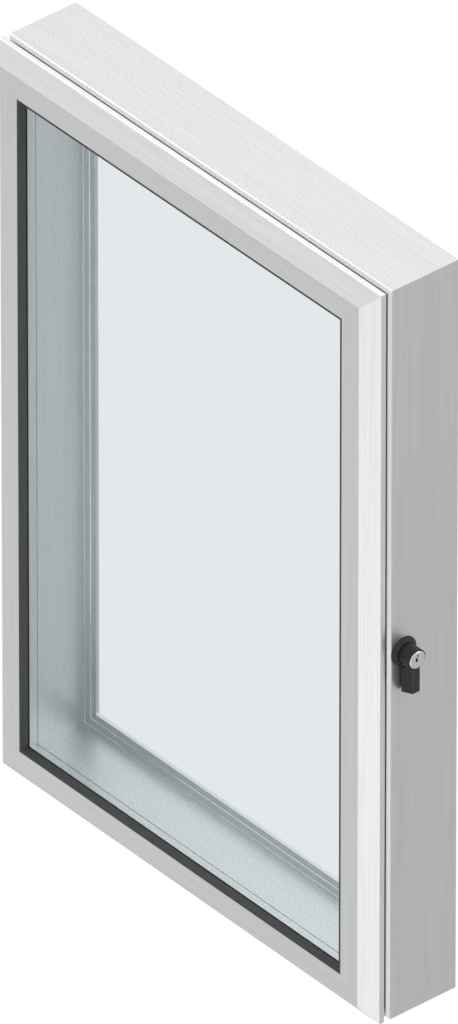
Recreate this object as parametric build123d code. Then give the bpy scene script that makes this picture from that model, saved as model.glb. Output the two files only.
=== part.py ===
from build123d import *
import os

# Aluminium window: a deep hollow frame that is screwed to a wall from behind, a bevelled sash that closes
# on its front, and a lever lock with a key cylinder in the frame's right side.
# Millimetres. X runs to the right, Y to the rear and Z up, as seen from the front. The origin is the middle
# of the bottom edge of the rear mounting face.

# Overall size
width = 400.0
height = 600.0

# Frame section
frame_depth = 60.3
frame_wall = 13.3
frame_skin = 2.0
frame_chamfer = 2.2
frame_edge_radius = 1.8
rear_wall = 3.2
flange_reach = 24.6
flange_thickness = 2.7
flange_step = 0.8
flange_step_reach = 19.7
flange_step_chamfer = 0.5
inner_corner_radius = 0.6
wall_groove_setback = 14.8
wall_groove_width = 1.0
wall_groove_depth = 0.4
chamber_web = 2.0

# Closing gasket between the frame and the sash
closing_gap = 2.7
gasket_setback = 5.0
gasket_width = 7.2
gasket_groove_depth = 2.0
gasket_fit = 0.1
gasket_bulb_radius = 2.0

# Sash section
sash_depth = 14.2
sash_bevel_run = 12.0
sash_bevel_depth = 10.0
sash_flat = 17.75
sash_skin = 1.8
sash_bevel_radius = 2.0
sash_edge_radius = 1.0
sash_lip = 2.2
rebate_cover = 6.35

# Glass, its seal and the beads behind it
glass_setback = 6.4
glass_thickness = 3.0
glass_edge_gap = 1.0
seal_sight_width = 2.0
seal_nose_setback = 0.1
seal_back = 0.8
seal_back_cover = 6.5
seal_fit = 0.1
bead_cover = 4.6
bead_foot = 0.6
bead_top = 1.6
bead_height = 3.3
bead_hook = 0.7
bead_hook_height = 0.8
bead_hook_setback = 1.6
bead_fit = 0.1

# Fixing holes in the rear face
fixing_hole_radius = 2.1
fixing_end_distance = 40.0

# Hinges in the left gap
hinge_end_distance = 110.0
hinge_length = 60.0
hinge_knuckle = 16.0
hinge_knuckle_gap = 0.3
hinge_barrel_radius = 1.25
hinge_pin_radius = 0.6
hinge_pin_fit = 0.05
hinge_leaf = 1.2
hinge_leaf_width = 4.6

# Lever lock in the right side
lock_setback = 13.0
lock_height = 301.2
lock_reach = 15.0
collar_radius = 11.0
collar_thickness = 3.6
collar_rim = 0.5
collar_top_radius = 8.5
barrel_radius = 7.0
barrel_fit = 0.1
nut_width = 17.0
nut_thickness = 5.0
spindle_radius = 4.0
spindle_fit = 0.05
spindle_square = 5.6
square_fit = 0.05
hub_radius = 7.55
hub_gap = 0.7
tail_width = 6.3
tail_wall_gap = 1.6
tail_collar_gap = 0.4
tail_length = 27.2
tail_root_length = 31.6
tail_edge_radius = 1.0
tail_heel_chamfer = 0.6
plug_face_radius = 6.65
plug_face_thickness = 2.2
plug_proud = 1.0
plug_edge_chamfer = 0.5
plug_radius = 5.5
plug_depth = 9.0
plug_fit = 0.05
key_slot_width = 1.8
key_slot_height = 3.2
key_slot_depth = 6.0
key_slot_offset = -1.0
key_slot_rise = 0.7
plug_mark_radius = 0.7
plug_mark_height = 3.7
plug_mark_depth = 0.5
cam_thickness = 2.4
cam_gap = 0.3
cam_width = 6.0
cam_eye_radius = 6.0
cam_reach = 13.0
keeper_clearance = 0.6
keeper_arm = 6.0
keeper_hook_length = 8.0
keeper_foot_height = 24.0
keeper_foot_thickness = 1.8

# Planes along the depth that the pieces share
frame_front = -frame_depth
sash_rear = frame_front - closing_gap
sash_front = sash_rear - sash_depth
glass_front = sash_front + glass_setback
glass_rear = glass_front + glass_thickness
seal_rear = glass_rear + seal_back

# Distances inward from the outer sides that the pieces share
sash_border = sash_bevel_run + sash_flat
rebate_wall = sash_border - rebate_cover
glass_edge = rebate_wall + glass_edge_gap

# Places along X that the lock's pieces share, outward from the wall's outer face
wall_outside = width / 2
wall_inside = wall_outside - frame_wall
lock_depth = frame_front + lock_setback
lock_place = Pos(0, lock_depth, lock_height)
lever_back = wall_outside + collar_thickness + hub_gap
tail_back = wall_outside + tail_wall_gap
plug_face = wall_outside + lock_reach
lever_face = plug_face - plug_proud
nut_end = wall_inside - nut_thickness
cam_outside = nut_end - cam_gap
cam_inside = cam_outside - cam_thickness

sides = {"bottom": 0, "right": -90, "top": 180, "left": 90}


def outline(*points):
    """A flat section from (depth, inward) points."""
    return make_face(Polyline(*points, close=True))


def block(depth_from, depth_to, inward_from, inward_to):
    """A rectangular piece of a section."""
    return outline(
        (depth_from, inward_from),
        (depth_to, inward_from),
        (depth_to, inward_to),
        (depth_from, inward_to),
    )


def round_corners(section, radius, *points):
    """The section with a fillet at the corners nearest to the points."""
    corners = [section.vertices().sort_by_distance((depth, inward, 0))[0] for depth, inward in points]
    return fillet(corners, radius)


def member(section, side):
    """One side of a rectangle: the section run along it, mitred at both ends."""
    upright = side in ("left", "right")
    half_run = (height if upright else width) / 2
    half_across = (width if upright else height) / 2
    reach = section.bounding_box().max.Y
    bar = extrude(Plane.YZ * Pos(0, -half_across) * section, half_run, both=True)
    mitre = make_face(
        Polyline(
            (-half_run, -half_across),
            (half_run, -half_across),
            (half_run - reach, reach - half_across),
            (reach - half_run, reach - half_across),
            close=True,
        )
    )
    bar &= extrude(Plane.XZ * mitre, -2 * sash_front, both=True)
    return Pos(0, 0, height / 2) * Rot(0, sides[side], 0) * bar


def frame_section():
    """Hollow box with a stepped rear flange, a chamfered front edge, a gasket groove and an inner groove."""
    flange_face = -flange_thickness
    step_face = flange_face - flange_step
    section = outline(
        (0, 0),
        (0, flange_reach),
        (flange_face, flange_reach),
        (flange_face, flange_step_reach),
        (step_face + flange_step_chamfer, flange_step_reach),
        (step_face, flange_step_reach - flange_step_chamfer),
        (step_face, frame_wall),
        (frame_front, frame_wall),
        (frame_front, frame_chamfer),
        (frame_front + frame_chamfer, 0),
    )
    section = round_corners(section, inner_corner_radius, (step_face, frame_wall))
    section = round_corners(section, frame_edge_radius, (frame_front + frame_chamfer, 0))
    gasket_floor = frame_front + gasket_groove_depth
    section -= block(frame_front, gasket_floor, gasket_setback, gasket_setback + gasket_width)
    groove_middle = frame_front + wall_groove_setback
    section -= block(
        groove_middle - wall_groove_width / 2,
        groove_middle + wall_groove_width / 2,
        frame_wall - wall_groove_depth,
        frame_wall,
    )
    chamber_front = gasket_floor + frame_skin
    web_middle = (chamber_front - rear_wall) / 2
    for start, end in (
        (chamber_front, web_middle - chamber_web / 2),
        (web_middle + chamber_web / 2, -rear_wall),
    ):
        section -= block(start, end, frame_skin, frame_wall - frame_skin)
    return section


def sash_section():
    """Bevelled hollow section with a lip over the glass and a groove that takes the bead."""
    bevel_end = sash_front + sash_bevel_depth
    hollow = outline(
        (sash_front, sash_bevel_run),
        (sash_front, rebate_wall),
        (sash_rear, rebate_wall),
        (sash_rear, 0),
        (bevel_end, 0),
    )
    chamber = offset(hollow, -sash_skin)
    section = round_corners(hollow, sash_bevel_radius, (bevel_end, 0))
    section = round_corners(section, sash_edge_radius, (sash_rear, 0))
    section += block(sash_front, sash_front + sash_lip, rebate_wall, sash_border)
    hook_start = seal_rear + bead_hook_setback - bead_fit
    section -= block(
        hook_start,
        hook_start + bead_hook_height + 2 * bead_fit,
        rebate_wall - bead_hook - bead_fit,
        rebate_wall,
    )
    return section - chamber


def seal_section():
    """Black glazing seal: a nose that covers the lip's edge and a channel round the edge of the glass."""
    sight_edge = sash_border + seal_sight_width
    lip_rear = sash_front + sash_lip
    seal_wall = rebate_wall + seal_fit
    return outline(
        (sash_front + seal_nose_setback, sash_border),
        (sash_front + seal_nose_setback, sight_edge),
        (glass_front, sight_edge),
        (glass_front, glass_edge),
        (glass_rear, glass_edge),
        (glass_rear, glass_edge + seal_back_cover),
        (seal_rear, glass_edge + seal_back_cover),
        (seal_rear, seal_wall),
        (lip_rear, seal_wall),
        (lip_rear, sash_border),
    )


def bead_section():
    """Clip-in bead behind the glass, sloped towards the opening, with a hook along its outer side."""
    hook_start = seal_rear + bead_hook_setback
    hook_end = hook_start + bead_hook_height
    bead_end = seal_rear + bead_height
    return outline(
        (seal_rear, rebate_wall),
        (seal_rear, rebate_wall + bead_cover),
        (seal_rear + bead_foot, rebate_wall + bead_cover),
        (bead_end, rebate_wall + bead_top),
        (bead_end, rebate_wall),
        (hook_end, rebate_wall),
        (hook_end, rebate_wall - bead_hook),
        (hook_start, rebate_wall - bead_hook),
        (hook_start, rebate_wall),
    )


def gasket_section():
    """Soft closing gasket that stands in the frame's groove and fills the gap to the sash."""
    start = gasket_setback + gasket_fit
    end = gasket_setback + gasket_width - gasket_fit
    section = block(frame_front + gasket_groove_depth, sash_rear, start, end)
    return round_corners(section, gasket_bulb_radius, (sash_rear, start), (sash_rear, end))


def turned(radius, start, end):
    """A cylinder along X from start to end on the lock's axis."""
    length = end - start
    return lock_place * Pos(start, 0, 0) * Rot(0, 90, 0) * Cylinder(
        radius, length, align=(Align.CENTER, Align.CENTER, Align.MIN)
    )


def tapered(start_radius, end_radius, start, end):
    """A cone along X from start to end on the lock's axis."""
    length = end - start
    return lock_place * Pos(start, 0, 0) * Rot(0, 90, 0) * Cone(
        start_radius, end_radius, length, align=(Align.CENTER, Align.CENTER, Align.MIN)
    )


def lock_plate(sketch, start, end):
    """A plate across the lock's axis between two places along X, from a (Y, Z) sketch about the axis."""
    return lock_place * Pos(start, 0, 0) * extrude(Plane.YZ * sketch, end - start)


def lock_body():
    """Conical collar on the wall and the barrel that goes through both of the frame's skins."""
    collar_top = wall_outside + collar_thickness
    collar = turned(collar_radius, wall_outside, wall_outside + collar_rim)
    collar += tapered(collar_radius, collar_top_radius, wall_outside + collar_rim, collar_top)
    barrel = turned(barrel_radius, nut_end, wall_outside)
    bore = turned(spindle_radius + spindle_fit, nut_end, collar_top)
    return collar + barrel - bore


def lock_nut():
    """Hexagon nut that draws the barrel against the inside of the wall."""
    nut = RegularPolygon(nut_width / 2, 6, major_radius=False) - Circle(barrel_radius + barrel_fit)
    return lock_plate(nut, nut_end, wall_inside)


def lock_lever():
    """Hub and slanted tail, notched round the collar, with the plug's recess and a square-ended spindle."""
    hub = turned(hub_radius, lever_back, lever_face)
    tail_side = make_face(
        Polyline(
            (tail_back, 0),
            (lever_face, 0),
            (lever_face, -tail_length),
            (tail_back, -tail_root_length),
            close=True,
        )
    )
    tail = lock_place * extrude(Plane.XZ * tail_side, tail_width / 2, both=True)
    toe = tail.edges().filter_by(Axis.Y).sort_by(Axis.Z)[1]
    outer_sides = tail.edges().filter_by(Axis.Z).sort_by(Axis.X)[-2:]
    tail = fillet(outer_sides + [toe], tail_edge_radius)
    heel = tail.edges().filter_by(Axis.Y).sort_by(Axis.Z)[0]
    tail = chamfer(heel, tail_heel_chamfer)
    tail -= turned(collar_radius + tail_collar_gap, tail_back, lever_back)
    spindle = turned(spindle_radius, nut_end, lever_back)
    square = lock_plate(Rectangle(spindle_square, spindle_square), cam_inside, nut_end)
    recess = turned(plug_face_radius + plug_fit, plug_face - plug_face_thickness, lever_face)
    pocket = turned(plug_radius + plug_fit, plug_face - plug_depth, lever_face)
    return hub + tail + spindle + square - recess - pocket


def lock_plug():
    """Key plug that stands proud of the hub, with a chamfered face, a key slot and a small dimple."""
    face = turned(plug_face_radius, plug_face - plug_face_thickness, plug_face)
    face = chamfer(face.edges().group_by(Axis.X)[-1], plug_edge_chamfer)
    body = turned(plug_radius, plug_face - plug_depth, plug_face - plug_face_thickness)
    slot = Pos(key_slot_offset, key_slot_rise) * Rectangle(key_slot_width, key_slot_height)
    mark = Pos(0, plug_mark_height) * Circle(plug_mark_radius)
    key_slot = lock_plate(slot, plug_face - key_slot_depth, plug_face)
    return face + body - key_slot - lock_plate(mark, plug_face - plug_mark_depth, plug_face)


def lock_cam():
    """Flat cam on the spindle's square end, with its tongue upward when the lever hangs down."""
    tongue = Pos(0, cam_reach / 2) * Rectangle(cam_width, cam_reach)
    plate = Circle(cam_eye_radius) + tongue
    plate -= Rectangle(spindle_square + 2 * square_fit, spindle_square + 2 * square_fit)
    return lock_plate(plate, cam_inside, cam_outside)


def sash_keeper():
    """Hook on the back of the sash that reaches over the cam and down behind it, on a screwed foot."""
    sash_back = sash_rear - lock_depth
    arm_bottom = (cam_reach**2 + (cam_width / 2) ** 2) ** 0.5 + keeper_clearance
    arm_top = arm_bottom + keeper_arm
    hook_front = cam_width / 2 + keeper_clearance
    hook_rear = hook_front + keeper_arm
    hook = make_face(
        Polyline(
            (sash_back, arm_bottom),
            (hook_front, arm_bottom),
            (hook_front, arm_top - keeper_arm - keeper_hook_length),
            (hook_rear, arm_top - keeper_arm - keeper_hook_length),
            (hook_rear, arm_top),
            (sash_back, arm_top),
            close=True,
        )
    )
    hook_plate = lock_plate(hook, cam_inside, cam_outside)
    foot = make_face(
        Polyline(
            (sash_back, arm_bottom),
            (sash_back + keeper_foot_thickness, arm_bottom),
            (sash_back + keeper_foot_thickness, arm_bottom + keeper_foot_height),
            (sash_back, arm_bottom + keeper_foot_height),
            close=True,
        )
    )
    return hook_plate + lock_plate(foot, cam_inside, wall_inside)


def hinge_pieces(middle):
    """Barrel hinge on the left outer edge: two frame knuckles, one sash knuckle and the pin."""
    axis = Pos(-width / 2, (frame_front + sash_rear) / 2, 0)
    gap_half = closing_gap / 2
    leaf = Rectangle(hinge_leaf_width, hinge_leaf, align=(Align.MIN, Align.MAX))
    web = Rectangle(hinge_leaf, gap_half, align=(Align.MIN, Align.MIN))
    bore = Circle(hinge_pin_radius + hinge_pin_fit)
    frame_profile = Circle(hinge_barrel_radius) + web + Pos(0, gap_half) * leaf - bore
    sash_profile = mirror(frame_profile, Plane.XZ)
    low = middle - hinge_length / 2
    high = middle + hinge_length / 2
    spans = (low, high - hinge_knuckle)
    frame_knuckles = [axis * Pos(0, 0, start) * extrude(frame_profile, hinge_knuckle) for start in spans]
    sash_start = low + hinge_knuckle + hinge_knuckle_gap
    sash_length = hinge_length - 2 * hinge_knuckle - 2 * hinge_knuckle_gap
    sash_knuckle = axis * Pos(0, 0, sash_start) * extrude(sash_profile, sash_length)
    pin = axis * Pos(0, 0, low) * extrude(Circle(hinge_pin_radius), hinge_length)
    return {"frame_knuckles": Compound(children=frame_knuckles), "sash_knuckle": sash_knuckle, "pin": pin}


nodes = {}
for side in sides:
    nodes[f"frame_{side}"] = member(frame_section(), side)
    nodes[f"sash_{side}"] = member(sash_section(), side)
    nodes[f"glazing_seal_{side}"] = member(seal_section(), side)
    nodes[f"glazing_bead_{side}"] = member(bead_section(), side)
    nodes[f"closing_gasket_{side}"] = member(gasket_section(), side)

# The barrel's hole through the frame's right side
barrel_hole = turned(barrel_radius + barrel_fit, wall_inside, wall_outside)
nodes["frame_right"] -= barrel_hole

# Tapped fixing holes in the rear wall of the uprights
fixing_inset = frame_wall / 2
for side, sign in (("left", -1), ("right", 1)):
    for level in (fixing_end_distance, height / 2, height - fixing_end_distance):
        hole = Pos(sign * (width / 2 - fixing_inset), 0, level) * Rot(90, 0, 0) * Cylinder(
            fixing_hole_radius, rear_wall, align=(Align.CENTER, Align.CENTER, Align.MIN)
        )
        nodes[f"frame_{side}"] -= hole

nodes["glass_pane"] = Pos(0, glass_front, height / 2) * Box(
    width - 2 * glass_edge,
    glass_thickness,
    height - 2 * glass_edge,
    align=(Align.CENTER, Align.MIN, Align.CENTER),
)

for hinge, middle in (("lower_hinge", hinge_end_distance), ("upper_hinge", height - hinge_end_distance)):
    for piece, solid in hinge_pieces(middle).items():
        nodes[f"{hinge}_{piece}"] = solid

nodes["lock_body"] = lock_body()
nodes["lock_nut"] = lock_nut()
nodes["lock_lever"] = lock_lever()
nodes["lock_plug"] = lock_plug()
nodes["lock_cam"] = lock_cam()
nodes["sash_keeper"] = sash_keeper()

os.makedirs("parts", exist_ok=True)
for name, shape in nodes.items():
    export_step(shape, f"parts/{name}.step")
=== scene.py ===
"""Looks, light and camera of the aluminium window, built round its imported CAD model."""
import math

import bmesh
import bpy
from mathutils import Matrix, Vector


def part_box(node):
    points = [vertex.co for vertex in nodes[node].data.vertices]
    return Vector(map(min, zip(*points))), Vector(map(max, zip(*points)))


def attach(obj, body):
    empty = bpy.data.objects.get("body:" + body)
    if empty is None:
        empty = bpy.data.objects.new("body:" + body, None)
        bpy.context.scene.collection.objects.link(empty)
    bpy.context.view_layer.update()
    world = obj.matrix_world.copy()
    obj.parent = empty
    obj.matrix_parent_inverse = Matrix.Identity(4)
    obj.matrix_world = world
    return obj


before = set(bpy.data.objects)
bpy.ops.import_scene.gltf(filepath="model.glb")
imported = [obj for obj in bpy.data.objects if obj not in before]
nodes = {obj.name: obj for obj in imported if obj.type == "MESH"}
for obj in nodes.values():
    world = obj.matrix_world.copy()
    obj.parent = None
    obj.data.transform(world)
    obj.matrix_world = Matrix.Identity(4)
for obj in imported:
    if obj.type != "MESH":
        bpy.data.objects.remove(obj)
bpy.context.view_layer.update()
scene = bpy.context.scene
scene.view_settings.view_transform = "Standard"

MM = 0.001
WHITE = (1, 1, 1, 1)
SIDES = ("bottom", "right", "top", "left")
HINGES = ("lower_hinge", "upper_hinge")
HINGE_PIECES = ("frame_knuckles", "sash_knuckle", "pin")
LOCK_AXIS = (0.2, -0.0473, 0.3012)
MIDDLE = Vector((0, 0, 0.3))


# Node helpers

def new_material(name):
    """A material with its node tree and its Principled shader."""
    material = bpy.data.materials.new(name)
    material.use_nodes = True
    tree = material.node_tree
    return material, tree, tree.nodes["Principled BSDF"]


def set_constant(shader, **values):
    """Sets unlinked sockets of a Principled shader, with _ in a name for a space."""
    for name, value in values.items():
        shader.inputs[name.replace("_", " ")].default_value = value


def coordinates(tree, scale, shift=(0, 0, 0)):
    """Object coordinates in metres, shifted and then scaled."""
    source = tree.nodes.new("ShaderNodeTexCoord")
    moved = tree.nodes.new("ShaderNodeVectorMath")
    moved.operation = "ADD"
    moved.inputs[1].default_value = shift
    tree.links.new(source.outputs["Object"], moved.inputs[0])
    stretched = tree.nodes.new("ShaderNodeVectorMath")
    stretched.operation = "MULTIPLY"
    stretched.inputs[1].default_value = scale
    tree.links.new(moved.outputs[0], stretched.inputs[0])
    return stretched.outputs[0]


def noise(tree, scale, detail, roughness):
    """Noise over object coordinates, as a factor from 0 to 1; its scale is a number or one for each axis."""
    node = tree.nodes.new("ShaderNodeTexNoise")
    node.inputs["Scale"].default_value = 1.0
    node.inputs["Detail"].default_value = detail
    node.inputs["Roughness"].default_value = roughness
    scales = scale if isinstance(scale, tuple) else (scale, scale, scale)
    tree.links.new(coordinates(tree, scales), node.inputs["Vector"])
    return node.outputs["Fac"]


def between(tree, factor, low, high, start=0.25, stop=0.75):
    """A factor mapped from start..stop to low..high."""
    node = tree.nodes.new("ShaderNodeMapRange")
    node.inputs["From Min"].default_value = start
    node.inputs["From Max"].default_value = stop
    node.inputs["To Min"].default_value = low
    node.inputs["To Max"].default_value = high
    tree.links.new(factor, node.inputs["Value"])
    return node.outputs["Result"]


def added(tree, first, second):
    """The sum of two factors."""
    node = tree.nodes.new("ShaderNodeMath")
    node.operation = "ADD"
    tree.links.new(first, node.inputs[0])
    tree.links.new(second, node.inputs[1])
    return node.outputs[0]


def paint(tree, factor, dark, light, shader):
    """Mixes a shader's colour from dark to light by a factor."""
    node = tree.nodes.new("ShaderNodeMix")
    node.data_type = "RGBA"
    node.inputs["A"].default_value = (*dark, 1)
    node.inputs["B"].default_value = (*light, 1)
    tree.links.new(factor, node.inputs["Factor"])
    tree.links.new(node.outputs["Result"], shader.inputs["Base Color"])


def polish(tree, roughness, shader):
    """Feeds a roughness that varies over the surface to a shader."""
    tree.links.new(roughness, shader.inputs["Roughness"])


def bump(tree, height, strength, distance, shader):
    """Relief of a given height in metres on a shader."""
    node = tree.nodes.new("ShaderNodeBump")
    node.inputs["Strength"].default_value = strength
    node.inputs["Distance"].default_value = distance
    tree.links.new(height, node.inputs["Height"])
    tree.links.new(node.outputs["Normal"], shader.inputs["Normal"])


def toned(colour, contrast):
    """A darker and a lighter tone of a colour."""
    dark = tuple(value * (1 - contrast) for value in colour)
    light = tuple(value * (1 + contrast) for value in colour)
    return dark, light


# Materials

STREAK_SHARE = 0.75
EDGE_CONTRAST = 0.05
GLASS_IOR = 1.5


def brushed_aluminium(name, along, colour, roughness, grain, contrast):
    """Anodised aluminium with brush streaks along one axis, a share of even grain and a tone contrast."""
    material, tree, shader = new_material(name)
    fine = {"X": (9, 640, 640), "Z": (640, 640, 9)}[along]
    wide = {"X": (2.5, 170, 170), "Z": (170, 170, 2.5)}[along]
    streaks = noise(tree, fine, detail=3.0, roughness=0.65)
    bands = noise(tree, wide, detail=2.0, roughness=0.5)
    specks = noise(tree, 900, detail=2.0, roughness=0.6)
    brushed = 1 - grain
    fine_part = between(tree, streaks, 0.0, STREAK_SHARE * brushed)
    wide_part = between(tree, bands, 0.0, (1 - STREAK_SHARE) * brushed)
    even_part = between(tree, specks, 0.0, grain)
    shade = added(tree, added(tree, fine_part, wide_part), even_part)
    paint(tree, shade, *toned(colour, contrast), shader)
    polish(tree, between(tree, shade, roughness - 0.04, roughness + 0.05, start=0.2, stop=0.8), shader)
    set_constant(shader, Metallic=1.0)
    bump(tree, added(tree, streaks, specks), strength=0.08, distance=0.03 * MM, shader=shader)
    return material


def edge_with_painted_highlight(name, colour, smoothest, roughest):
    """Lighter, smoother edges of the aluminium members, with slow changes of tone along them; the lighter
    colour is a painted highlight, on the outer edges together with rubbing.
    """
    material, tree, shader = new_material(name)
    wear = noise(tree, 24, detail=2.0, roughness=0.5)
    paint(tree, between(tree, wear, 0.0, 1.0), *toned(colour, EDGE_CONTRAST), shader)
    polish(tree, between(tree, wear, smoothest, roughest), shader)
    set_constant(shader, Metallic=1.0)
    return material


def rubber(name, dark, light):
    """Matt rubber with a fine grain and dusty patches."""
    material, tree, shader = new_material(name)
    grain = noise(tree, 2600, detail=2.0, roughness=0.6)
    dust = noise(tree, 60, detail=4.0, roughness=0.6)
    paint(tree, between(tree, dust, 0.0, 1.0), dark, light, shader)
    polish(tree, between(tree, dust, 0.52, 0.68), shader)
    bump(tree, grain, strength=0.25, distance=0.04 * MM, shader=shader)
    return material


def textured_plastic(name, dark, light):
    """Satin black plastic with an eroded texture."""
    material, tree, shader = new_material(name)
    grain = noise(tree, 2100, detail=3.0, roughness=0.65)
    handling = noise(tree, 140, detail=3.0, roughness=0.55)
    paint(tree, between(tree, handling, 0.0, 1.0), dark, light, shader)
    polish(tree, between(tree, handling, 0.46, 0.58), shader)
    set_constant(shader, Specular_IOR_Level=0.4)
    bump(tree, grain, strength=0.30, distance=0.05 * MM, shader=shader)
    return material


def turned_nickel(name, dark, light):
    """Satin nickel with the rings that turning leaves round the lock's axis."""
    material, tree, shader = new_material(name)
    centred = coordinates(tree, (1, 1, 1), tuple(-value for value in LOCK_AXIS))
    rings = tree.nodes.new("ShaderNodeTexWave")
    rings.wave_type = "RINGS"
    rings.rings_direction = "X"
    rings.inputs["Scale"].default_value = 420.0
    rings.inputs["Distortion"].default_value = 1.5
    rings.inputs["Detail"].default_value = 2.0
    tree.links.new(centred, rings.inputs["Vector"])
    marks = rings.outputs["Fac"]
    smudges = noise(tree, 260, detail=3.0, roughness=0.6)
    paint(tree, marks, dark, light, shader)
    polish(tree, between(tree, smudges, 0.22, 0.36), shader)
    set_constant(shader, Metallic=1.0)
    bump(tree, marks, strength=0.08, distance=0.02 * MM, shader=shader)
    return material


def zinc_steel(name, dark, light):
    """Zinc-plated steel with a faint crystal pattern."""
    material, tree, shader = new_material(name)
    crystals = tree.nodes.new("ShaderNodeTexVoronoi")
    crystals.inputs["Scale"].default_value = 420.0
    source = tree.nodes.new("ShaderNodeTexCoord")
    tree.links.new(source.outputs["Object"], crystals.inputs["Vector"])
    pattern = crystals.outputs["Distance"]
    tarnish = noise(tree, 90, detail=4.0, roughness=0.6)
    paint(tree, tarnish, dark, light, shader)
    polish(tree, between(tree, pattern, 0.26, 0.42, start=0.0, stop=0.8), shader)
    set_constant(shader, Metallic=1.0)
    bump(tree, pattern, strength=0.06, distance=0.03 * MM, shader=shader)
    return material


def float_glass(name, tint, mirror_share):
    """Float glass with a faint green tint, a weak mirror image and clear shadows."""
    material, tree, shader = new_material(name)
    set_constant(shader, Transmission_Weight=1.0, Roughness=0.0, IOR=GLASS_IOR, Base_Color=(*tint, 1))
    waves = noise(tree, 7, detail=1.0, roughness=0.4)
    bump(tree, waves, strength=0.02, distance=0.1 * MM, shader=shader)
    coated = tree.nodes.new("ShaderNodeBsdfRefraction")
    coated.inputs["Color"].default_value = (*(math.sqrt(value) for value in tint), 1)
    coated.inputs["Roughness"].default_value = 0.0
    coated.inputs["IOR"].default_value = GLASS_IOR
    weak_mirror = tree.nodes.new("ShaderNodeMixShader")
    weak_mirror.inputs["Fac"].default_value = mirror_share
    tree.links.new(coated.outputs["BSDF"], weak_mirror.inputs[1])
    tree.links.new(shader.outputs["BSDF"], weak_mirror.inputs[2])
    clear = tree.nodes.new("ShaderNodeBsdfTransparent")
    clear.inputs["Color"].default_value = (*tint, 1)
    path = tree.nodes.new("ShaderNodeLightPath")
    choice = tree.nodes.new("ShaderNodeMixShader")
    tree.links.new(path.outputs["Is Shadow Ray"], choice.inputs["Fac"])
    tree.links.new(weak_mirror.outputs["Shader"], choice.inputs[1])
    tree.links.new(clear.outputs["BSDF"], choice.inputs[2])
    tree.links.new(choice.outputs["Shader"], tree.nodes["Material Output"].inputs["Surface"])
    return material


# Each metal has the way its brush runs, its colour, roughness, share of even grain and tone contrast
ALUMINIUM = (0.635, 0.637, 0.640)
# The inner faces are the same aluminium painted lighter and cooler, as painted light that comes in through
# the tinted glass
PAINTED_LIGHT_INNER_ALUMINIUM = (0.770, 0.800, 0.805)
# The flange faces are the same aluminium painted lighter still, as painted light that falls on them through
# the glass
PAINTED_LIGHT_FLANGE_ALUMINIUM = (0.925, 0.938, 0.940)
sash_metal = {
    "X": brushed_aluminium("brushed_sash_rails", "X", ALUMINIUM, 0.40, 0.05, 0.13),
    "Z": brushed_aluminium("brushed_sash_uprights", "Z", ALUMINIUM, 0.40, 0.05, 0.09),
}
bevel_metal = {
    "X": brushed_aluminium("brushed_bevel_rails", "X", ALUMINIUM, 0.40, 0.05, 0.14),
    "Z": brushed_aluminium("brushed_bevel_uprights", "Z", ALUMINIUM, 0.40, 0.05, 0.20),
}
frame_metal = {
    "X": brushed_aluminium("brushed_frame_rails", "X", ALUMINIUM, 0.42, 0.72, 0.28),
    "Z": brushed_aluminium("brushed_frame_uprights", "Z", ALUMINIUM, 0.42, 0.08, 0.10),
}
painted_light_inner_metal = {
    "X": brushed_aluminium("satin_painted_light_inner_rails", "X", PAINTED_LIGHT_INNER_ALUMINIUM, 0.46, 0.85, 0.32),
    "Z": brushed_aluminium("satin_painted_light_inner_uprights", "Z", PAINTED_LIGHT_INNER_ALUMINIUM, 0.46, 0.75, 0.25),
}
painted_light_flange_metal = {
    "X": brushed_aluminium("satin_painted_light_flange_rails", "X", PAINTED_LIGHT_FLANGE_ALUMINIUM, 0.46, 0.75, 0.06),
    "Z": brushed_aluminium("satin_painted_light_flange_uprights", "Z", PAINTED_LIGHT_FLANGE_ALUMINIUM, 0.46, 0.75, 0.06),
}

# Edges have a colour and the range of their roughness, and the others a dark and a light tone
# The outer edges and the sash rim are painted lighter than the aluminium: rubbing and a painted highlight
rubbed_and_highlight_edge = edge_with_painted_highlight("rubbed_and_highlight_aluminium_edges", (0.715, 0.718, 0.721), 0.26, 0.34)
# The flange's edge lines behind the glass are painted much lighter, as painted highlight lines
highlight_inner_edge = edge_with_painted_highlight("painted_highlight_inner_edges", (0.930, 0.950, 0.950), 0.19, 0.25)
seal_rubber = rubber("glazing_seal_rubber", (0.074, 0.074, 0.074), (0.090, 0.090, 0.089))
# The seal's nose is a darker copy of the seal rubber, painting shade on its front face
painted_shade_nose_rubber = rubber("painted_shade_seal_nose", (0.036, 0.036, 0.036), (0.046, 0.046, 0.046))
gasket_rubber = rubber("closing_gasket_rubber", (0.20, 0.20, 0.20), (0.26, 0.26, 0.255))
# Near-black rubber that paints shade into gaps and holes: the collar's top under the hub, the lever's back
# and the key slot
painted_shade_black = rubber("painted_shade_black", (0.006, 0.006, 0.006), (0.010, 0.010, 0.010))
plastic = textured_plastic("lock_black_plastic", (0.014, 0.014, 0.015), (0.022, 0.022, 0.023))
# A lighter copy of the lock's plastic for the tail's rounded edges, painting a highlight line along them
highlight_plastic = textured_plastic("painted_highlight_plastic_edges", (0.026, 0.026, 0.027), (0.034, 0.034, 0.035))
# The collar's plastic is a darker copy of the lock's plastic, painting the shade that the hub casts on the
# collar
painted_shade_collar_plastic = textured_plastic("painted_shade_collar_black_plastic", (0.006, 0.006, 0.006), (0.011, 0.011, 0.011))
nickel = turned_nickel("plug_turned_nickel", (0.59, 0.59, 0.59), (0.69, 0.69, 0.685))
steel = zinc_steel("zinc_plated_steel", (0.44, 0.45, 0.47), (0.60, 0.60, 0.60))
glass = float_glass("float_glass", (0.763, 0.808, 0.817), mirror_share=0.18)


# Dressing of the CAD nodes

JOINED_WITHIN = 0.002 * MM
SHARP_ANGLE = math.radians(38)
EDGE_SEGMENTS = 2


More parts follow.
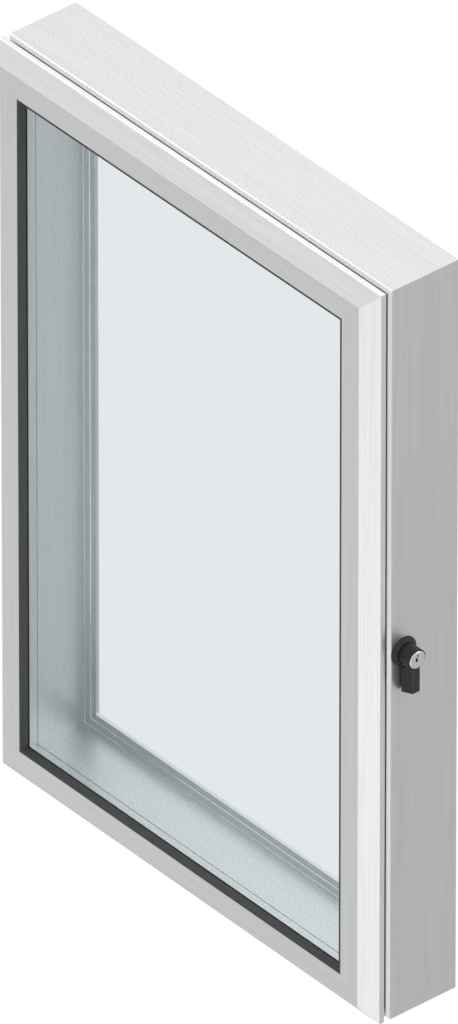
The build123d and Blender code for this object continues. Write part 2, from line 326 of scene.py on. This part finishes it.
def dress(node, materials, edge=0.0, edge_material=0):
    """Gives a CAD node its materials, and small rounded edges where edge is a width in metres."""
    thing = nodes[node]
    thing.data.materials.clear()
    for material in materials:
        thing.data.materials.append(material)
    if edge:
        weld = thing.modifiers.new("joined_faces", "WELD")
        weld.merge_threshold = JOINED_WITHIN
        rounding = thing.modifiers.new("rounded_edges", "BEVEL")
        rounding.width = edge
        rounding.segments = EDGE_SEGMENTS
        rounding.limit_method = "ANGLE"
        rounding.angle_limit = SHARP_ANGLE
        rounding.material = edge_material
        smooth = thing.modifiers.new("even_shading", "WEIGHTED_NORMAL")
        smooth.keep_sharp = False


# Faces are told apart by the largest part of their normal and by how far they look to the middle, in metres
SQUARE = 0.995
FACING = 0.9
LEAST_REACH = 0.05
IN_PLANE = Vector((1, 0, 1))
FACE_SLACK = 0.02 * MM
FLANGE_DEPTH = 5 * MM
MITRE_SQUARENESS = math.cos(math.radians(45))
MITRE_SLACK = 0.02
BEVEL_RUN = 12
BEVEL_DEPTH = 10
BEVEL_SQUARENESS = BEVEL_RUN / math.hypot(BEVEL_RUN, BEVEL_DEPTH)
BEVEL_SLACK = 0.01
TAIL_TOP = LOCK_AXIS[2] - 8 * MM
LEAST_ROUNDING = 0.05
PLUG_MIDDLE_RADIUS = 5 * MM
LEAST_PLUG_FACING = -0.5


def squareness(face):
    """The largest part of a face's normal, which is 1 for a face square to an axis."""
    return max(abs(value) for value in face.normal)


def reach_inward(face):
    """How far a face looks toward the middle of the window, in metres."""
    return face.normal.dot((MIDDLE - face.center) * IN_PLANE)


def split_frame(node):
    """Sets a frame member's inner faces, its outer edges, and the edges and face of its flange; the inner
    and flange faces take aluminium painted lighter as painted light, the edges a lighter metal as a painted
    highlight.
    """
    inner, edge, flange_edge, flange_face = 1, 2, 3, 4
    for face in nodes[node].data.polygons:
        square = squareness(face) >= SQUARE
        mitred = abs(squareness(face) - MITRE_SQUARENESS) <= MITRE_SLACK
        inward = reach_inward(face) > LEAST_REACH
        forward = face.normal.y < -FACING
        on_flange = face.center.y > -FLANGE_DEPTH
        # Flange edges take the inner edge metal, a painted highlight line
        if inward and on_flange and not square:
            face.material_index = flange_edge
        elif not (square or mitred) or (inward and on_flange):
            face.material_index = edge
        # The flange's front faces take the flange aluminium, painted lighter as painted light
        elif on_flange and forward:
            face.material_index = flange_face
        # Inner and front-facing faces take the inner aluminium, painted lighter and cooler as painted light
        elif inward or forward:
            face.material_index = inner


def split_sash(node):
    """Sets a sash member's rim and rounded edges, which take the lighter edge metal as rubbing and a painted
    highlight, and its bevel.
    """
    edge, bevel = 1, 2
    for face in nodes[node].data.polygons:
        outward = reach_inward(face) < -LEAST_REACH
        if abs(squareness(face) - BEVEL_SQUARENESS) < BEVEL_SLACK:
            face.material_index = bevel
        elif squareness(face) < SQUARE or outward:
            face.material_index = edge


def split_seal(node):
    """Sets the front of a seal's nose to a darker rubber, painted shade."""
    nose = 1
    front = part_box(node)[0].y
    for face in nodes[node].data.polygons:
        if face.center.y < front + FACE_SLACK:
            face.material_index = nose


def split_collar():
    """Sets the top of the lock's collar, in the gap under the hub, to a near-black material that paints the
    shade there.
    """
    painted_shade_slot = 1
    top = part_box("lock_body")[1].x
    for face in nodes["lock_body"].data.polygons:
        if face.center.x > top - FACE_SLACK:
            face.material_index = painted_shade_slot


def split_lever():
    """Sets the back of the lever, which faces the wall, to a near-black material that paints the shade in
    the gap, and the long edges of its tail to a lighter plastic that paints a highlight.
    """
    painted_shade_slot, edge = 1, 2
    for face in nodes["lock_lever"].data.polygons:
        if face.normal.x < -FACING:
            face.material_index = painted_shade_slot
        # Rounded edges of the tail take the lighter plastic as a painted highlight
        elif face.center.z < TAIL_TOP and abs(face.normal.x * face.normal.y) > LEAST_ROUNDING:
            face.material_index = edge


def split_plug():
    """Sets the inside of the key slot and of the dimple to a near-black material that paints the shade in
    them.
    """
    painted_shade_slot = 1
    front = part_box("lock_plug")[1].x
    for face in nodes["lock_plug"].data.polygons:
        off_axis = math.hypot(face.center.y - LOCK_AXIS[1], face.center.z - LOCK_AXIS[2])
        sunk = face.center.x < front - FACE_SLACK
        if off_axis < PLUG_MIDDLE_RADIUS and sunk and face.normal.x > LEAST_PLUG_FACING:
            face.material_index = painted_shade_slot


for side in SIDES:
    run = "X" if side in ("top", "bottom") else "Z"
    frame_materials = (frame_metal[run], painted_light_inner_metal[run], rubbed_and_highlight_edge, highlight_inner_edge, painted_light_flange_metal[run])
    dress(f"frame_{side}", frame_materials, edge=0.30 * MM, edge_material=2)
    split_frame(f"frame_{side}")
    sash_materials = (sash_metal[run], rubbed_and_highlight_edge, bevel_metal[run])
    dress(f"sash_{side}", sash_materials, edge=0.12 * MM, edge_material=1)
    split_sash(f"sash_{side}")
    dress(f"glazing_bead_{side}", (sash_metal[run], rubbed_and_highlight_edge), edge=0.15 * MM, edge_material=1)
    dress(f"glazing_seal_{side}", (seal_rubber, painted_shade_nose_rubber), edge=0.15 * MM, edge_material=1)
    split_seal(f"glazing_seal_{side}")
    dress(f"closing_gasket_{side}", (gasket_rubber,), edge=0.2 * MM)
for hinge in HINGES:
    for piece in HINGE_PIECES:
        dress(f"{hinge}_{piece}", (steel,), edge=0.15 * MM)
for node in ("lock_nut", "lock_cam", "sash_keeper"):
    dress(node, (steel,), edge=0.2 * MM)
# The lever's back, the collar's top and the key slot take the near-black painted shade
dress("lock_lever", (plastic, painted_shade_black, highlight_plastic), edge=0.25 * MM)
split_lever()
# The collar takes the darker plastic that paints the hub's shade
dress("lock_body", (painted_shade_collar_plastic, painted_shade_black), edge=0.2 * MM)
split_collar()
dress("lock_plug", (nickel, painted_shade_black), edge=0.12 * MM)
split_plug()
dress("glass_pane", (glass,))


# Small fasteners that the solids leave out

HEAD_STEPS = 32
SOCKET_STEPS = 6
KEEPER_FOOT_THICKNESS = 1.8 * MM
KEEPER_SCREW_DROPS = (4.5 * MM, 14.5 * MM)
KEEPER_HEAD = {"radius": 1.9 * MM, "height": 1.3 * MM}
CAM_HEAD = {"radius": 3.6 * MM, "height": 2.2 * MM}


def socket_screw(name, place, axis, body, radius, height):
    """A round screw head with a hexagon socket, standing on a face along an axis."""
    shoulder = height * 0.7
    crown_radius = radius * 0.86
    socket_radius = radius * 0.5
    socket_floor = height * 0.25
    drawing = bmesh.new()
    rings = []
    for count, ring_radius, level in (
        (HEAD_STEPS, radius, 0.0),
        (HEAD_STEPS, radius, shoulder),
        (HEAD_STEPS, crown_radius, height),
        (SOCKET_STEPS, socket_radius, height),
        (SOCKET_STEPS, socket_radius, socket_floor),
    ):
        ring = []
        for step in range(count):
            turn = 2 * math.pi * step / count
            corner = (ring_radius * math.cos(turn), ring_radius * math.sin(turn), level)
            ring.append(drawing.verts.new(corner))
        edges = [drawing.edges.new((ring[step - 1], ring[step])) for step in range(count)]
        rings.append((ring, edges))
    drawing.faces.new(rings[0][0][::-1])
    for lower, upper in zip(rings, rings[1:]):
        bmesh.ops.bridge_loops(drawing, edges=lower[1] + upper[1])
    drawing.faces.new(rings[-1][0])
    bmesh.ops.recalc_face_normals(drawing, faces=drawing.faces)
    mesh = bpy.data.meshes.new(name)
    drawing.to_mesh(mesh)
    drawing.free()
    mesh.materials.append(steel)
    screw = bpy.data.objects.new(name, mesh)
    scene.collection.objects.link(screw)
    screw.location = place
    screw.rotation_euler = Vector(axis).to_track_quat("Z", "Y").to_euler()
    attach(screw, body)


keeper_low, keeper_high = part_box("sash_keeper")
cam_low, cam_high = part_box("lock_cam")
foot_face = keeper_low.y + KEEPER_FOOT_THICKNESS
screw_x = (cam_high.x + keeper_high.x) / 2
for number, drop in enumerate(KEEPER_SCREW_DROPS, start=1):
    screw_place = (screw_x, foot_face, keeper_high.z - drop)
    socket_screw(f"keeper_screw_{number}", screw_place, (0, 1, 0), body="window", **KEEPER_HEAD)
cam_place = (cam_low.x, LOCK_AXIS[1], LOCK_AXIS[2])
socket_screw("cam_screw", cam_place, (-1, 0, 0), body="lock", **CAM_HEAD)


# Floor and world: white behind the object, a pale floor in the metal

SKY_STRENGTH = 0.55
SKY_IN_METAL = 0.92
FLOOR_HEIGHT = -1.2
FLOOR_SIZE = 16
FLOOR_GREY = (0.8, 0.8, 0.8, 1)

# Brightness of the floor in metal: even round the window, dimmer at the front left, brighter behind
FLOOR_EVEN = 0.72
FLOOR_DIMMEST = 0.54
FLOOR_BRIGHTEST = 0.90
EVEN_REACH = 3.2
FULL_REACH = 6.5
TO_REAR_RIGHT = (math.sqrt(0.5), math.sqrt(0.5), 0)


def white_for_camera(tree, plain, output):
    """Shows white to the camera and through glass, and the plain shader to other rays.

    Returns the white that metal shows, so that its strength can be set.
    """
    path = tree.nodes.new("ShaderNodeLightPath")
    seen = tree.nodes.new("ShaderNodeMath")
    seen.operation = "MAXIMUM"
    tree.links.new(path.outputs["Is Camera Ray"], seen.inputs[0])
    tree.links.new(path.outputs["Is Transmission Ray"], seen.inputs[1])
    on_material = output.type == "OUTPUT_MATERIAL"
    white = tree.nodes.new("ShaderNodeEmission" if on_material else "ShaderNodeBackground")
    white.inputs["Strength"].default_value = 1.0
    mirrored = tree.nodes.new(white.bl_idname)
    for node in (white, mirrored):
        node.inputs["Color"].default_value = WHITE
    in_metal = tree.nodes.new("ShaderNodeMixShader")
    tree.links.new(path.outputs["Is Glossy Ray"], in_metal.inputs["Fac"])
    tree.links.new(plain.outputs[0], in_metal.inputs[1])
    tree.links.new(mirrored.outputs[0], in_metal.inputs[2])
    choice = tree.nodes.new("ShaderNodeMixShader")
    tree.links.new(seen.outputs[0], choice.inputs["Fac"])
    tree.links.new(in_metal.outputs[0], choice.inputs[1])
    tree.links.new(white.outputs[0], choice.inputs[2])
    tree.links.new(choice.outputs[0], output.inputs["Surface"])
    return mirrored


world = bpy.data.worlds.new("studio")
scene.world = world
world.use_nodes = True
sky = world.node_tree.nodes["Background"]
sky.inputs["Color"].default_value = WHITE
sky.inputs["Strength"].default_value = SKY_STRENGTH
sky_in_metal = white_for_camera(world.node_tree, sky, world.node_tree.nodes["World Output"])
sky_in_metal.inputs["Strength"].default_value = SKY_IN_METAL

bpy.ops.mesh.primitive_plane_add(size=FLOOR_SIZE, location=(0, 0, FLOOR_HEIGHT))
floor = bpy.context.active_object
floor.name = "studio_floor"
floor_material, floor_tree, floor_shader = new_material("pale_floor")
set_constant(floor_shader, Base_Color=FLOOR_GREY, Roughness=0.9)
floor_in_metal = white_for_camera(floor_tree, floor_shader, floor_tree.nodes["Material Output"])
floor_point = floor_tree.nodes.new("ShaderNodeNewGeometry")
across = floor_tree.nodes.new("ShaderNodeVectorMath")
across.operation = "DOT_PRODUCT"
across.inputs[1].default_value = TO_REAR_RIGHT
floor_tree.links.new(floor_point.outputs["Position"], across.inputs[0])
along_floor = across.outputs["Value"]
dimming = between(floor_tree, along_floor, FLOOR_DIMMEST, FLOOR_EVEN, -FULL_REACH, -EVEN_REACH)
rising = between(floor_tree, along_floor, 0.0, FLOOR_BRIGHTEST - FLOOR_EVEN, EVEN_REACH, FULL_REACH)
floor_tree.links.new(added(floor_tree, dimming, rising), floor_in_metal.inputs["Strength"])
floor.data.materials.append(floor_material)


# Lamps: softboxes with the direction they stand in, their distance, size and brightness

CENTRE = Vector((0, -0.04, 0.3))
SOFTBOXES = {
    "top_softbox": ((-0.28, 0.55, 0.72), 2.2, 1.9, 0.44),
    "upper_left_softbox": ((-0.60, -0.64, 0.48), 2.2, 1.6, 0.27),
    "edge_strip": ((-0.63, 0.03, 0.78), 2.4, 0.7, 3.0),
    "low_right_softbox": ((0.42, -0.72, -0.52), 1.7, 1.2, 1.00),
    "low_left_softbox": ((-0.63, -0.55, -0.55), 1.8, 1.8, 0.22),
    "key_softbox": ((0.50, -0.52, 0.69), 2.6, 1.6, 0.80),
    "rear_softbox": ((0.58, 0.58, 0.57), 2.2, 1.3, 1.30),
}


def softbox(name, direction, distance, size, brightness):
    """A square area lamp that faces the window; a brightness of 1 looks white."""
    lamp = bpy.data.lights.new(name, "AREA")
    lamp.shape = "SQUARE"
    lamp.size = size
    lamp.energy = brightness * math.pi * size * size
    thing = bpy.data.objects.new(name, lamp)
    scene.collection.objects.link(thing)
    thing.location = CENTRE + Vector(direction).normalized() * distance
    thing.rotation_euler = (CENTRE - thing.location).to_track_quat("-Z", "Y").to_euler()
    thing.visible_camera = False
    thing.visible_transmission = False


for lamp_name, settings in SOFTBOXES.items():
    softbox(lamp_name, *settings)


# Camera: a very long lens, since the photo is a parallel view

AZIMUTH = math.radians(50.01)
ELEVATION = math.radians(35.0)
TARGET = Vector((-0.0155, -0.0199, 0.2871))
DISTANCE = 24.418
LENS = 760
SENSOR_WIDTH = 36
SENSOR_HEIGHT = 21.6
NEAREST = 1.0
FARTHEST = 100.0

camera = bpy.data.cameras.new("photo_camera")
camera.lens = LENS
camera.sensor_fit = "VERTICAL"
camera.sensor_width = SENSOR_WIDTH
camera.sensor_height = SENSOR_HEIGHT
camera.clip_start = NEAREST
camera.clip_end = FARTHEST
viewer = bpy.data.objects.new("photo_camera", camera)
scene.collection.objects.link(viewer)
toward_viewer = Vector((
    math.sin(AZIMUTH) * math.cos(ELEVATION),
    -math.cos(AZIMUTH) * math.cos(ELEVATION),
    math.sin(ELEVATION),
))
viewer.location = TARGET + toward_viewer * DISTANCE
viewer.rotation_euler = (math.pi / 2 - ELEVATION, 0, AZIMUTH)
scene.camera = viewer
